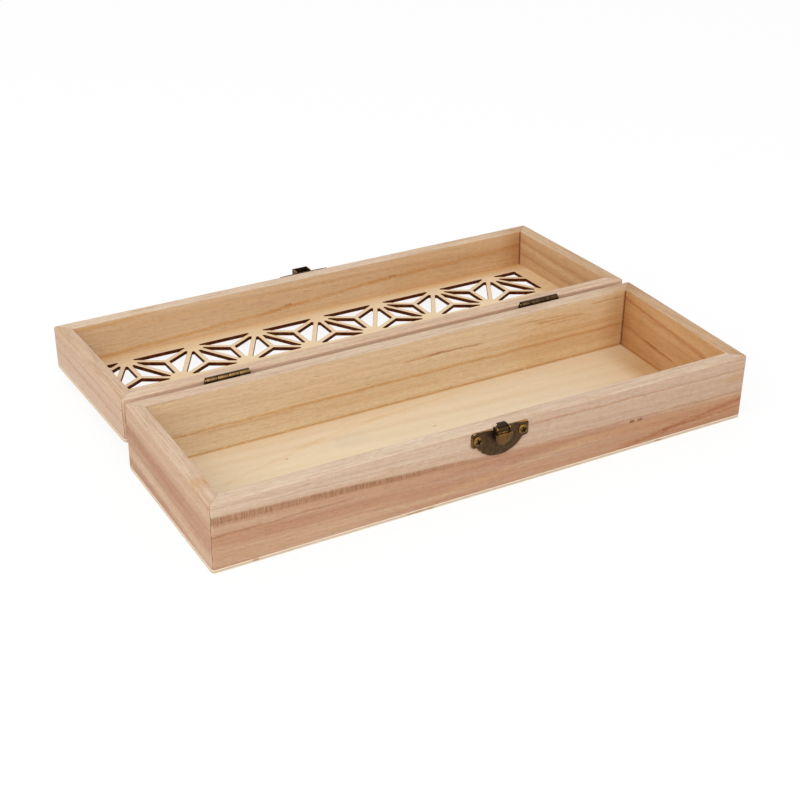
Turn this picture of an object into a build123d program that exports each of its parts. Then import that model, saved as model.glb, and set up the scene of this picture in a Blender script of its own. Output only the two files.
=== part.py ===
# Wooden keepsake box with a hemp-leaf lattice lid, two butt hinges and a press latch.
# Millimetres, +Z up, origin at the centre of the base's underside, catch towards -Y.
# The lid is drawn open, lying level behind the base.
import os

from build123d import *

os.makedirs("parts", exist_ok=True)

# box
box_length = 300
box_width = 102
wall_thick = 8
ply_thick = 2
base_wall_height = 34.3
lid_wall_height = 21.5
corner_round = 1.6
rim_bevel = 1.0
rim_inner_bevel = 0.4

# lid at rest
open_past_flat = 2.9
rim_gap = 0.3
axis_behind = 2.45
axis_below_rim = 0.2

# hemp-leaf lattice
leaf_pitch = 38.5
leaf_row = 34.5
leaf_columns = 7
leaf_rows = 2
leaf_bar = 2.5
leaf_tip = 1.2
lattice_along = -2.2
lattice_across = -0.3

# hinges
hinge_left_inset = 55.2
hinge_right_inset = 59.0
hinge_length = 23.6
knuckle_count = 4
knuckle_play = 0.15
barrel_radius = 1.85
hinge_pin_radius = 0.75
hinge_pin_overhang = 0.5
leaf_thick = 0.9
leaf_height = 11.0
leaf_play = 0.3
neck_rise = 0.9
hinge_screw_inset = 4.7
hinge_screw_drop = 8.4

# fits
running_fit = 0.05
press_fit = 0.01
screw_hole_fit = 0.15
pilot_fit = 0.03

# screws
hinge_screw = {"shank": 0.9, "length": 6.5, "head": 2.0, "rise": 1.25}
catch_screw = {"shank": 1.1, "length": 6.5, "head": 2.6, "rise": 1.1}
shank_sides = 12

# catch plate and keeper plate
catch_x = -1.0
plate_thick = 1.0
plate_width = 32.0
ear_height = 8.0
ear_corner = 1.8
lobe_inset = 3.0
lobe_drop = 7.1
lobe_fillet = 0.8
catch_screw_inset = 3.3
catch_screw_below = 4.3
catch_plate_drop = 0.8
keeper_plate_drop = 0.2

# press latch
pin_out = 2.6
pin_below_rim = 1.0
latch_pin_radius = 0.6
latch_pin_overhang = 0.1
rocker_barrel = 1.2
button_half = 4.8
button_top = 1.8
button_drop = 7.9
tongue_half = 3.05
tongue_rise = 3.8
tongue_shoulder = 1.8
cheek_gap = 0.15
cheek_thick = 0.6
cheek_radius = 1.6
cheek_top = 1.1
cheek_foot = 1.4
relief_width = 1.0
relief_depth = 1.4
# profiles from the pin's centre: out of the box, then up
button_profile = [
    (0.5, -1.0), (0.7, -1.6), (1.9, -1.8), (1.3, -7.9), (0.4, -7.9), (0.9, -2.6), (-0.3, -1.1),
]
tongue_profile = [
    (-1.2, 0), (0, 1.1), (-0.2, 3.3), (-0.5, 3.8), (-1.0, 3.8), (-2.25, 3.0), (-2.25, 2.7), (-1.2, 2.65),
]

# hood on the keeper
hood_half = 4.6
hood_out = 6.0
hood_depth = 7.8
hood_sheet = 0.6
hood_lip = 1.0
hood_straight = 2.5
nib_slot_half = 3.1
nib_slot_near = 1.15
nib_slot_far = 3.1

# sizes that follow
base_height = ply_thick + base_wall_height
axis_y = box_width / 2 + axis_behind
axis_z = base_height - axis_below_rim
lid_rim_drop = axis_below_rim + rim_gap
lid_middle = axis_behind + box_width / 2
lattice_length = leaf_pitch * leaf_columns
lattice_width = leaf_row * leaf_rows
leaf_top = barrel_radius + leaf_play
hinge_places = {"left": hinge_left_inset - box_length / 2, "right": box_length / 2 - hinge_right_inset}
catch_screw_reach = plate_width / 2 - catch_screw_inset
hinge_screw_reach = hinge_length / 2 - hinge_screw_inset
pin_up = catch_plate_drop - pin_below_rim

lid_frame = Plane(origin=(0, axis_y, axis_z)).rotated((-open_past_flat, 0, 0))


# plane parallel to the lid's rim, measured from the hinge axis
def lid_plane(across, up):
    place = lid_frame.from_local_coords((0, across, up))
    return Plane(origin=place, x_dir=lid_frame.x_dir, z_dir=lid_frame.z_dir)


base_foot = Plane.XY.offset(ply_thick)
lid_foot = lid_plane(lid_middle, -lid_rim_drop - lid_wall_height)
lid_bottom = lid_plane(lid_middle, -lid_rim_drop - lid_wall_height - ply_thick)


# upright planes on the walls: y towards the rim, z out of the wood
def base_face(x, side, up):
    return Plane(origin=(x, side * box_width / 2, up), x_dir=(-side, 0, 0), z_dir=(0, side, 0))


def lid_face(x, side, up):
    place = lid_frame.from_local_coords((x, lid_middle + side * box_width / 2, up))
    return Plane(origin=place, x_dir=(-side, 0, 0), z_dir=lid_frame.y_dir * side)


# cross-section plane of a face: x out of the wood, y towards the rim
def section(face, along=0.0):
    place = face.from_local_coords((along, 0, 0))
    return Plane(origin=place, x_dir=face.z_dir, z_dir=face.x_dir * -1)


def save(piece, label):
    piece.part.label = label
    export_step(piece.part, f"parts/{label}.step")


catch_face = base_face(catch_x, -1, base_height - catch_plate_drop)
keeper_face = lid_face(catch_x, 1, -lid_rim_drop - keeper_plate_drop)
catch_screws = [(side * catch_screw_reach, -catch_screw_below) for side in (-1, 1)]
hinge_screws = [(side * hinge_screw_reach, -hinge_screw_drop) for side in (-1, 1)]
base_hinge_faces = {name: base_face(x, 1, axis_z) for name, x in hinge_places.items()}
lid_hinge_faces = {name: lid_face(x, -1, 0) for name, x in hinge_places.items()}

# plan sectors that cut a frame at its mitres
half_length = box_length / 2
half_width = box_width / 2
mitre_end = half_length - half_width
sectors = {
    "near": [(-half_length, -half_width), (half_length, -half_width), (mitre_end, 0), (-mitre_end, 0)],
    "far": [(half_length, half_width), (-half_length, half_width), (-mitre_end, 0), (mitre_end, 0)],
    "left": [(-half_length, half_width), (-half_length, -half_width), (-mitre_end, 0)],
    "right": [(half_length, -half_width), (half_length, half_width), (mitre_end, 0)],
}


# one mitred wall of a frame, with pilot holes for the screws that it takes
def frame_wall(label, foot, rise, sector, screws=(), faces=(), places=()):
    up = Axis(foot.origin, foot.z_dir)
    span = box_length if sector in ("near", "far") else box_width
    with BuildPart() as wall:
        with BuildSketch(foot):
            RectangleRounded(box_length, box_width, corner_round)
            Rectangle(box_length - 2 * wall_thick, box_width - 2 * wall_thick, mode=Mode.SUBTRACT)
            Polygon(*sectors[sector], align=None, mode=Mode.INTERSECT)
        extrude(amount=rise)
        rim = wall.faces().sort_by(up)[-1].edges()
        outer = rim.filter_by(lambda edge: abs(edge.length - span + 2 * corner_round) < 0.01)
        chamfer(outer + rim.filter_by(GeomType.CIRCLE), rim_bevel)
        inner = wall.edges().filter_by(lambda edge: abs(edge.length - span + 2 * wall_thick) < 0.01)
        chamfer(inner.sort_by(up)[-1], rim_inner_bevel)
        for face in faces:
            with BuildSketch(face):
                with Locations(*places):
                    RegularPolygon(screws["shank"] + pilot_fit, shank_sides, major_radius=False)
            extrude(amount=-screws["length"], mode=Mode.SUBTRACT)
    save(wall, label)


# plywood under the base's walls
def base_floor():
    with BuildPart() as floor:
        with BuildSketch(Plane.XY):
            RectangleRounded(box_length, box_width, corner_round)
        extrude(amount=ply_thick)
    save(floor, "base_floor")


# corners of a triangle whose sides are each moved inwards by their own amount
def inset_triangle(corners, insets):
    ends = [Vector(*corner) for corner in corners]
    lines = []
    for index, inset in enumerate(insets):
        start = ends[index]
        run = (ends[(index + 1) % 3] - start).normalized()
        lines.append((start + Vector(-run.Y, run.X) * inset, run))
    found = []
    for index in range(3):
        start, run = lines[index - 1]
        other, other_run = lines[index]
        gap = other - start
        reach = gap.cross(other_run).Z / run.cross(other_run).Z
        found.append(tuple(start + run * reach)[:2])
    return found


# a triangle whose sharp corners are cut off where it narrows to the given width
def blunt_corners(corners, width):
    ends = [Vector(*corner) for corner in corners]
    found = []
    for index in range(3):
        back = (ends[index - 1] - ends[index]).normalized()
        ahead = (ends[(index + 1) % 3] - ends[index]).normalized()
        if back.dot(ahead) < 0.5:
            found.append(corners[index])
        else:
            cut = width / (back - ahead).length
            found.extend(tuple(ends[index] + run * cut)[:2] for run in (back, ahead))
    return found


# the three openings of one lattice triangle: its first side lies along a row of hubs
def leaf_openings(left, right, tip, row_bar, tip_arm):
    middle = tuple(sum(values) / 3 for values in zip(left, right, tip))
    first, second = (left, right) if tip[1] > left[1] else (right, left)
    half = leaf_bar / 2
    yield inset_triangle([first, second, middle], [row_bar, half, half])
    yield inset_triangle([second, tip, middle], [half, tip_arm, half])
    yield inset_triangle([tip, first, middle], [half, half, tip_arm])


# every opening of the lattice, row by row, with no bars along its outer edges
def lattice_openings():
    half = leaf_bar / 2
    for row in range(leaf_rows):
        heights = [(row + step - leaf_rows / 2) * leaf_row for step in (0, 1)]
        bars = [0 if row == 0 else half, 0 if row == leaf_rows - 1 else half]
        shifted, level = (0, 1) if row % 2 == 0 else (1, 0)
        for column in range(leaf_columns + 1):
            hub = column * leaf_pitch - lattice_length / 2
            end_arm = 0 if column in (0, leaf_columns) else half
            before = (hub - leaf_pitch / 2, heights[shifted])
            after = (hub + leaf_pitch / 2, heights[shifted])
            yield from leaf_openings(before, after, (hub, heights[level]), bars[shifted], end_arm)
            if column < leaf_columns:
                here = (hub, heights[level])
                there = (hub + leaf_pitch, heights[level])
                yield from leaf_openings(here, there, after, bars[level], half)


# plywood lid panel, cut through with the lattice
def lid_panel():
    with BuildPart() as panel:
        with BuildSketch(lid_bottom):
            RectangleRounded(box_length, box_width, corner_round)
        extrude(amount=ply_thick)
        with BuildSketch(lid_bottom):
            with Locations((lattice_along, lattice_across)):
                for corners in lattice_openings():
                    Polygon(*blunt_corners(corners, leaf_tip), align=None)
                Rectangle(lattice_length, lattice_width, mode=Mode.INTERSECT)
        extrude(amount=ply_thick, mode=Mode.SUBTRACT)
    save(panel, "lid_panel")


# screw with its head standing on a face
def screw(label, face, place, size, under_head):
    x, y = place
    seat = Plane(origin=face.from_local_coords((x, y, under_head)), x_dir=face.x_dir, z_dir=face.z_dir)
    with BuildPart() as piece:
        with BuildSketch(seat):
            Circle(size["head"])
        extrude(amount=size["rise"])
        with BuildSketch(seat):
            RegularPolygon(size["shank"], shank_sides)
        extrude(amount=-under_head - size["length"])
    save(piece, label)


# one leaf of a butt hinge with every second knuckle, counted from the given one
def hinge_leaf(label, face, first, bore_fit):
    step = hinge_length / knuckle_count
    with BuildPart() as leaf:
        with BuildSketch(face):
            with Locations((0, -leaf_top - leaf_height / 2)):
                Rectangle(hinge_length, leaf_height)
            with Locations(*hinge_screws):
                Circle(hinge_screw["shank"] + screw_hole_fit, mode=Mode.SUBTRACT)
        extrude(amount=leaf_thick)
        for number in range(first, knuckle_count, 2):
            middle = (number + 0.5) * step - hinge_length / 2
            with BuildSketch(section(face, middle)):
                with Locations((axis_behind, 0)):
                    Circle(barrel_radius)
                Polygon(
                    (0, -leaf_top), (leaf_thick, -leaf_top), (axis_behind, -barrel_radius),
                    (axis_behind, 0), (axis_behind - barrel_radius, 0), (0, -neck_rise), align=None,
                )
            extrude(amount=(step - knuckle_play) / 2, both=True)
        with BuildSketch(section(face)):
            with Locations((axis_behind, 0)):
                Circle(hinge_pin_radius + bore_fit)
        extrude(amount=hinge_length, both=True, mode=Mode.SUBTRACT)
    save(leaf, label)


def hinge_pin(label, face):
    reach = hinge_length / 2 + hinge_pin_overhang
    with BuildPart() as pin:
        with BuildSketch(section(face)):
            with Locations((axis_behind, 0)):
                Circle(hinge_pin_radius)
        extrude(amount=reach, both=True)
    save(pin, label)


# outline shared by the catch plate and the keeper plate, its straight edge at the rim
def plate_outline():
    chord = plate_width / 2 - lobe_inset
    with BuildSketch() as outline:
        with Locations((0, -ear_height / 2)):
            RectangleRounded(plate_width, ear_height, ear_corner)
        with BuildLine():
            ThreePointArc((-chord, -ear_height), (0, -ear_height - lobe_drop), (chord, -ear_height))
            Line((chord, -ear_height), (-chord, -ear_height))
        make_face()
        corners = outline.vertices().filter_by(lambda corner: abs(abs(corner.X) - chord) < 0.01)
        fillet(corners, lobe_fillet)
        with Locations(*catch_screws):
            Circle(catch_screw["shank"] + screw_hole_fit, mode=Mode.SUBTRACT)
    return outline.sketch


# catch plate with the two cheeks that carry the rocker's pin, each beside its relief notch
def catch_plate(outline):
    cheek_start = tongue_half + cheek_gap
    notch = cheek_start + cheek_thick + relief_width / 2
    with BuildPart() as plate:
        with BuildSketch(catch_face):
            add(outline)
            with Locations((-notch, -relief_depth / 2), (notch, -relief_depth / 2)):
                Rectangle(relief_width, relief_depth, mode=Mode.SUBTRACT)
        extrude(amount=plate_thick)
        for side in (-1, 1):
            with BuildSketch(section(catch_face, side * (cheek_start + cheek_thick / 2))):
                with Locations((pin_out, pin_up)):
                    Circle(cheek_radius)
                Polygon(
                    (0, pin_up + cheek_top), (0, pin_up - cheek_foot),
                    (pin_out, pin_up - cheek_radius), (pin_out, pin_up + cheek_radius), align=None,
                )
                with Locations((pin_out, pin_up)):
                    Circle(latch_pin_radius + press_fit, mode=Mode.SUBTRACT)
            extrude(amount=cheek_thick / 2, both=True)
    save(plate, "catch_plate")


# rocker that turns on the pin: push button below, hooked tongue above
def catch_rocker():
    middle = section(catch_face)
    pivot = Plane(
        origin=middle.from_local_coords((pin_out, pin_up, 0)), x_dir=middle.x_dir, z_dir=middle.z_dir
    )
    front = Plane(origin=pivot.origin, x_dir=catch_face.x_dir, z_dir=catch_face.z_dir)
    round_start = button_half - button_drop
    with BuildPart() as rocker:
        with BuildSketch(pivot):
            Circle(rocker_barrel)
            Polygon(*button_profile, align=None)
            Polygon(*tongue_profile, align=None)
            Circle(latch_pin_radius + running_fit, mode=Mode.SUBTRACT)
        extrude(amount=button_half, both=True)
        with BuildSketch(front):
            with BuildLine():
                Polyline(
                    (-button_half, round_start), (-button_half, -button_top),
                    (-tongue_half, -button_top), (-tongue_half, tongue_shoulder),
                )
                ThreePointArc((-tongue_half, tongue_shoulder), (0, tongue_rise), (tongue_half, tongue_shoulder))
                Polyline(
                    (tongue_half, tongue_shoulder), (tongue_half, -button_top),
                    (button_half, -button_top), (button_half, round_start),
                )
                ThreePointArc((button_half, round_start), (0, -button_drop), (-button_half, round_start))
            make_face()
        extrude(amount=hood_out, both=True, mode=Mode.INTERSECT)
    save(rocker, "catch_rocker")


def latch_pin():
    reach = tongue_half + cheek_gap + cheek_thick + latch_pin_overhang
    with BuildPart() as pin:
        with BuildSketch(section(catch_face)):
            with Locations((pin_out, pin_up)):
                Circle(latch_pin_radius)
        extrude(amount=reach, both=True)
    save(pin, "catch_pin")


# solid of the hood, grown or shrunk by a sheet's thickness
def hood_form(back, shrink, mouth):
    half = hood_half - shrink
    out = hood_out - shrink
    depth = hood_depth - shrink
    with BuildPart() as form:
        with BuildSketch(section(keeper_face)):
            with BuildLine():
                Polyline((out, -hood_straight), (out, mouth), (back, mouth), (back, -depth))
                TangentArc((out, -hood_straight), (back, -depth), tangent=(0, -1))
            make_face()
        extrude(amount=hood_half, both=True)
        with BuildSketch(keeper_face):
            with BuildLine():
                Polyline((-half, half - depth), (-half, mouth), (half, mouth), (half, half - depth))
                ThreePointArc((half, half - depth), (0, -depth), (-half, half - depth))
            make_face()
        extrude(amount=hood_out + 1, mode=Mode.INTERSECT)
    return form.part


# keeper on the lid: plate, hood and the slot that the rocker's hook springs into
def keeper(outline):
    outside = hood_form(plate_thick / 2, 0, hood_lip)
    inside = hood_form(plate_thick, hood_sheet, 2 * hood_lip)
    with BuildPart() as plate:
        with BuildSketch(keeper_face):
            add(outline)
        extrude(amount=plate_thick)
        add(outside)
        add(inside, mode=Mode.SUBTRACT)
        with BuildSketch(keeper_face):
            with Locations((0, hood_lip)):
                Rectangle(2 * (hood_half - hood_sheet), 2 * hood_lip)
            with Locations((0, keeper_plate_drop - (nib_slot_near + nib_slot_far) / 2)):
                Rectangle(2 * nib_slot_half, nib_slot_far - nib_slot_near)
        extrude(amount=plate_thick, mode=Mode.SUBTRACT)
    save(plate, "keeper_plate")


base_floor()
frame_wall("base_front_wall", base_foot, base_wall_height, "near", catch_screw, [catch_face], catch_screws)
back_faces = base_hinge_faces.values()
frame_wall("base_back_wall", base_foot, base_wall_height, "far", hinge_screw, back_faces, hinge_screws)
frame_wall("base_left_wall", base_foot, base_wall_height, "left")
frame_wall("base_right_wall", base_foot, base_wall_height, "right")
lid_panel()
frame_wall("lid_front_wall", lid_foot, lid_wall_height, "far", catch_screw, [keeper_face], catch_screws)
lid_faces = lid_hinge_faces.values()
frame_wall("lid_back_wall", lid_foot, lid_wall_height, "near", hinge_screw, lid_faces, hinge_screws)
frame_wall("lid_left_wall", lid_foot, lid_wall_height, "left")
frame_wall("lid_right_wall", lid_foot, lid_wall_height, "right")

for name in hinge_places:
    base_side = base_hinge_faces[name]
    lid_side = lid_hinge_faces[name]
    hinge_leaf(f"hinge_{name}_base_leaf", base_side, 0, press_fit)
    hinge_leaf(f"hinge_{name}_lid_leaf", lid_side, 0, running_fit)
    hinge_pin(f"hinge_{name}_pin", base_side)
    for number, place in enumerate(hinge_screws, 1):
        screw(f"hinge_{name}_base_screw_{number}", base_side, place, hinge_screw, leaf_thick)
        screw(f"hinge_{name}_lid_screw_{number}", lid_side, place, hinge_screw, leaf_thick)

outline = plate_outline()
catch_plate(outline)
catch_rocker()
latch_pin()
keeper(outline)
for number, place in enumerate(catch_screws, 1):
    screw(f"catch_screw_{number}", catch_face, place, catch_screw, plate_thick)
    screw(f"keeper_screw_{number}", keeper_face, place, catch_screw, plate_thick)
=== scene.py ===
from math import radians

import bmesh
import bpy
from mathutils import Matrix, Vector
from mathutils.geometry import intersect_point_line


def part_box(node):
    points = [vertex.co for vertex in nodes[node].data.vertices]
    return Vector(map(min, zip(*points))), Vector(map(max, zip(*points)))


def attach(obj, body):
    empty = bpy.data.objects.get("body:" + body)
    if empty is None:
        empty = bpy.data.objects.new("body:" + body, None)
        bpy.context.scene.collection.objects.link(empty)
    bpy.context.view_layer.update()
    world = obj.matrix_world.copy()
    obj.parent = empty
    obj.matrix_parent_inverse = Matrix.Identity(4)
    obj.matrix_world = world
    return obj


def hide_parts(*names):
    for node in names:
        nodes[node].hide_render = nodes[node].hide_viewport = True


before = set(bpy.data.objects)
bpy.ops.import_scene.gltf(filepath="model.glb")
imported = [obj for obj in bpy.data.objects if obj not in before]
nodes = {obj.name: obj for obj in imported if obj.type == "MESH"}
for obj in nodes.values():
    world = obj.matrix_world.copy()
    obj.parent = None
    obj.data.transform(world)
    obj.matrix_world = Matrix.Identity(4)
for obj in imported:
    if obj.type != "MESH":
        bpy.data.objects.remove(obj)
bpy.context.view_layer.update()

# the two mitred frames, measured from the middle of each
boxShape = {
    "length": 0.3,
    "width": 0.102,
    "wall": 0.008,
    "cornerRadius": 0.0016, "cornerSteps": 6,
    "rimRound": 0.00095, "rimSteps": 4,
    "innerRound": 0.00035, "innerSteps": 2,
    "footRound": 0.00012, "footSteps": 1,
    "jointPull": 0.00003,
}
baseShape = {"foot": 0.002, "rim": 0.0363, "plyRound": 0.00018}
lidShape = {
    "foot": -0.022, "rim": -0.0005, "ply": 0.002, "middle": 0.05345,
    "hingeAt": (0, 0.05345, 0.0361), "lean": 2.9,
}

lidPlace = Matrix.Translation(lidShape["hingeAt"]) @ Matrix.Rotation(radians(-lidShape["lean"]), 4, "X")
lidMiddle = lidPlace @ Matrix.Translation((0, lidShape["middle"], 0))

# how far the inner faces are from the middle of a frame, in the materials' millimetres
insideLength = (boxShape["length"] / 2 - boxShape["wall"]) * 1000
insideWidth = (boxShape["width"] / 2 - boxShape["wall"]) * 1000


def linear(seen):  # a colour as read off a screen, made linear
    return tuple(((c / 255 + 0.055) / 1.055) ** 2.4 for c in seen) + (1.0,)


# small helpers for node trees
def addNode(tree, kind, inputs=None, **settings):
    node = tree.nodes.new("ShaderNode" + kind)
    node.location = (200 * (len(tree.nodes) % 12), -260 * (len(tree.nodes) // 12))
    for key, value in settings.items():
        setattr(node, key, value)
    for key, value in (inputs or {}).items():
        if isinstance(value, bpy.types.NodeSocket):
            tree.links.new(value, node.inputs[key])
        else:
            node.inputs[key].default_value = value
    return node


def doMath(tree, operation, first, second=0.0, clamp=False):
    node = addNode(tree, "Math", {0: first, 1: second}, operation=operation, use_clamp=clamp)
    return node.outputs[0]


def plus(tree, first, second, clamp=False):
    return doMath(tree, "ADD", first, second, clamp)


def minus(tree, first, second):
    return doMath(tree, "SUBTRACT", first, second)


def times(tree, first, second, clamp=False):
    return doMath(tree, "MULTIPLY", first, second, clamp)


def absolute(tree, value):
    return doMath(tree, "ABSOLUTE", value)


def split(tree, vector):
    return addNode(tree, "SeparateXYZ", {0: vector}).outputs


def painted(tree, label):  # a value that the mesh carries
    return addNode(tree, "Attribute", attribute_name=label).outputs["Fac"]


def remap(tree, value, low, high, toLow=0.0, toHigh=1.0, kind="LINEAR"):
    names = {"Value": value, "From Min": low, "From Max": high, "To Min": toLow, "To Max": toHigh}
    return addNode(tree, "MapRange", names, interpolation_type=kind).outputs["Result"]


def blendColour(tree, factor, first, second, way="MIX"):
    node = addNode(tree, "Mix", {0: factor, 6: first, 7: second}, data_type="RGBA", blend_type=way)
    return node.outputs[2]


def tinted(tree, colour, marks):  # each mark is where it is seen, and what it does to the colour
    for factor, tint in marks:
        colour = blendColour(tree, factor, colour, (*tint, 1), "MULTIPLY")
    return colour


def stretch(tree, vector, scale, offset=(0, 0, 0)):
    inputs = {0: vector, 1: scale, 2: offset}
    return addNode(tree, "VectorMath", inputs, operation="MULTIPLY_ADD").outputs[0]


def cloud(tree, vector, scale=1.0, detail=2.0, rough=0.5):
    inputs = {"Vector": vector, "Scale": scale, "Detail": detail, "Roughness": rough}
    return addNode(tree, "TexNoise", inputs).outputs["Fac"]


def newGroup(name, place, numbers, masks):  # one vector and some numbers go in, masks come out
    tree = bpy.data.node_groups.new(name, "ShaderNodeTree")
    tree.interface.new_socket(place, in_out="INPUT", socket_type="NodeSocketVector")
    for labels, way in ((numbers, "INPUT"), (masks, "OUTPUT")):
        for label in labels:
            tree.interface.new_socket(label, in_out=way, socket_type="NodeSocketFloat")
    return tree, tree.nodes.new("NodeGroupInput").outputs, tree.nodes.new("NodeGroupOutput")


def useGroup(tree, group, inputs):
    return addNode(tree, "Group", inputs, node_tree=group).outputs


def newMaterial(name):
    material = bpy.data.materials.new(name)
    material.use_nodes = True
    tree = material.node_tree
    return material, tree, tree.nodes["Principled BSDF"]


def relief(tree, shader, height, distance, strength):
    bump = addNode(tree, "Bump", {"Height": height, "Distance": distance, "Strength": strength})
    tree.links.new(bump.outputs["Normal"], shader.inputs["Normal"])


# wood grain, shared by every board; board coordinates are millimetres: along, through, up
def makeGrainGroup():
    marks = {  # stretch, detail, roughness and the two levels that become 0 and 1
        "Bands": ((0.0035, 0.06, 0.16), 1.5, 0.5, 0.36, 0.64),
        "Streaks": ((0.009, 0.4, 0.7), 3.0, 0.6, 0.36, 0.66),
        "Fibres": ((0.05, 1.6, 2.4), 2.0, 0.6, 0.3, 0.7),
        "Mottle": ((0.35, 1.0, 1.1), 4.0, 0.65, 0.34, 0.66),
        "Pores": ((0.17, 3.1, 3.3), 1.0, 0.5, 0.6, 0.72),
        "Rays": ((1.5, 0.4, 0.2), 2.0, 0.65, 0.4, 0.68),
    }
    tree, given, put = newGroup("timberGrain", "Board", ("Seed", "Slope"), marks)
    parts = split(tree, given["Board"])
    drift = times(tree, parts["X"], given["Slope"])
    waver = cloud(tree, stretch(tree, given["Board"], (0.011, 0.05, 0.035)), detail=1.0)
    wobble = cloud(tree, stretch(tree, given["Board"], (0.07, 0.1, 0.12)), detail=2.0)
    rise = plus(tree, parts["Z"], drift)
    rise = plus(tree, rise, times(tree, waver, 5.0))
    rise = plus(tree, rise, times(tree, wobble, 1.6))
    through = plus(tree, parts["Y"], times(tree, given["Seed"], 31.7))
    flow = addNode(tree, "CombineXYZ", {0: parts["X"], 1: through, 2: rise}).outputs[0]
    for label, (scale, detail, rough, low, high) in marks.items():
        seen = cloud(tree, stretch(tree, flow, scale), detail=detail, rough=rough)
        tree.links.new(remap(tree, seen, low, high), put.inputs[label])
    return tree


# a soft line along a board from one point to another, uneven and fading at both ends
lineInputs = ("Start", "Start Up", "End", "End Up", "Width")


def makeLineGroup():
    tree, given, put = newGroup("boardLine", "Board", lineInputs, ["Mask"])
    parts = split(tree, given["Board"])
    run = {"Value": parts["X"], "From Min": given["Start"], "From Max": given["End"]}
    along = addNode(tree, "MapRange", run).outputs[0]
    rise = {**run, "To Min": given["Start Up"], "To Max": given["End Up"]}
    level = addNode(tree, "MapRange", rise).outputs[0]
    waver = cloud(tree, stretch(tree, given["Board"], (0.045, 0, 0), (3, 0, 0)), detail=1.0)
    ragged = cloud(tree, stretch(tree, given["Board"], (0.5, 0.6, 1.1)), detail=3.0, rough=0.65)
    off = minus(tree, parts["Z"], level)
    off = plus(tree, off, times(tree, minus(tree, waver, 0.5), 2.2))
    reach = times(tree, given["Width"], remap(tree, ragged, 0.3, 0.7, 0.6, 1.5))
    wide = remap(tree, given["Width"], 6, 12)
    reach = addNode(tree, "Mix", {0: wide, 2: reach, 3: given["Width"]}).outputs[0]
    near = doMath(tree, "DIVIDE", absolute(tree, off), reach)
    mask = remap(tree, near, 0.15, 1.0, 1.0, 0.0, "SMOOTHSTEP")
    for low, high in ((0.0, 0.15), (1.0, 0.85)):
        mask = times(tree, mask, remap(tree, along, low, high))
    patchy = remap(tree, given["Width"], 6, 12, 0.45, 0.0)  # a wide line is even shading
    gaps = times(tree, remap(tree, ragged, 0.3, 0.6, 1.0, 0.0), patchy)
    mask = times(tree, mask, minus(tree, 1.0, gaps))
    tree.links.new(mask, put.inputs["Mask"])
    return tree


# thin dark glue lines where two boards meet: down the corner and inside, and faintly across the rim
mitreLook = {"width": 0.3, "strength": 0.85, "onRim": 0.35, "tint": (0.4, 0.25, 0.16)}


def makeMitreGroup():
    tree, given, put = newGroup("mitreLine", "Frame", ["Rim"], ["Mask"])
    parts = split(tree, given["Frame"])
    along, across = (absolute(tree, parts[axis]) for axis in ("X", "Y"))
    off = absolute(tree, minus(tree, minus(tree, along, across), insideLength - insideWidth))
    ragged = cloud(tree, stretch(tree, given["Frame"], (0.3, 0.3, 0.55)), detail=3.0, rough=0.7)
    reach = times(tree, remap(tree, ragged, 0.35, 0.65, 0.25, 1.4), mitreLook["width"])
    mask = remap(tree, doMath(tree, "DIVIDE", off, reach), 0.4, 1.0, 1.0, 0.0)
    gaps = [absolute(tree, minus(tree, spot, edge))
            for spot, edge in ((along, insideLength), (across, insideWidth))]
    inside = doMath(tree, "MAXIMUM", *gaps)
    sunk = remap(tree, minus(tree, given["Rim"], parts["Z"]), 0.6, 1.4)
    inside = times(tree, remap(tree, inside, 0.35, 1.1, 0.9, 0.0), sunk)
    mask = times(tree, mask, remap(tree, sunk, 0, 1, mitreLook["onRim"], 1.0))
    mask = doMath(tree, "MAXIMUM", mask, inside)
    tree.links.new(mask, put.inputs["Mask"])
    return tree


grainGroup = makeGrainGroup()
lineGroup = makeLineGroup()
mitreGroup = makeMitreGroup()


# coordinates in millimetres from the middle of a frame, and turned along one board
def frameVector(tree, body):
    place = addNode(tree, "TexCoord").outputs["Object"]
    if body == "lid":
        turn = Matrix.Rotation(radians(lidShape["lean"]), 3, "X")
        shift = turn @ Vector(lidShape["hingeAt"]) * -1 - Vector((0, lidShape["middle"], 0))
        place = addNode(tree, "Mapping", {
            "Vector": place, "Location": shift, "Rotation": (radians(lidShape["lean"]), 0, 0),
        }).outputs[0]
    return stretch(tree, place, (1000, 1000, 1000))


def boardVector(tree, frameSocket, side):
    if side in ("near", "far"):
        return frameSocket
    parts = split(tree, frameSocket)
    return addNode(tree, "CombineXYZ", {0: parts["Y"], 1: parts["X"], 2: parts["Z"]}).outputs[0]


# what a line does to the colour under it: some lines are wood marks, others painted light and shade
lineTints = {
    "brown": (0.64, 0.46, 0.32),
    "rust": (0.8, 0.58, 0.38),
    "amber": (0.92, 0.76, 0.52),
    "honey": (1.08, 1.15, 1.08),
    "heart": (0.84, 0.72, 0.68),
    "tan": (0.95, 0.86, 0.7),
    "grey": (0.7, 0.62, 0.54),
    "pale": (1.1, 1.18, 1.24),
    "blue": (0.88, 0.93, 1.0),
    # painted shade, darkening towards inner corners
    "shade": (0.72, 0.56, 0.36),
    "knot": (0.4, 0.26, 0.18),
}

# the grain's slope and how strong each mark is, where a wall has no value of its own
plainWood = {
    "slope": 0.02, "bands": 0.4, "streaks": 0.42, "fibres": 0.28, "mottle": 0.5, "pores": 0.24, "rays": 0.14,
}
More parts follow.
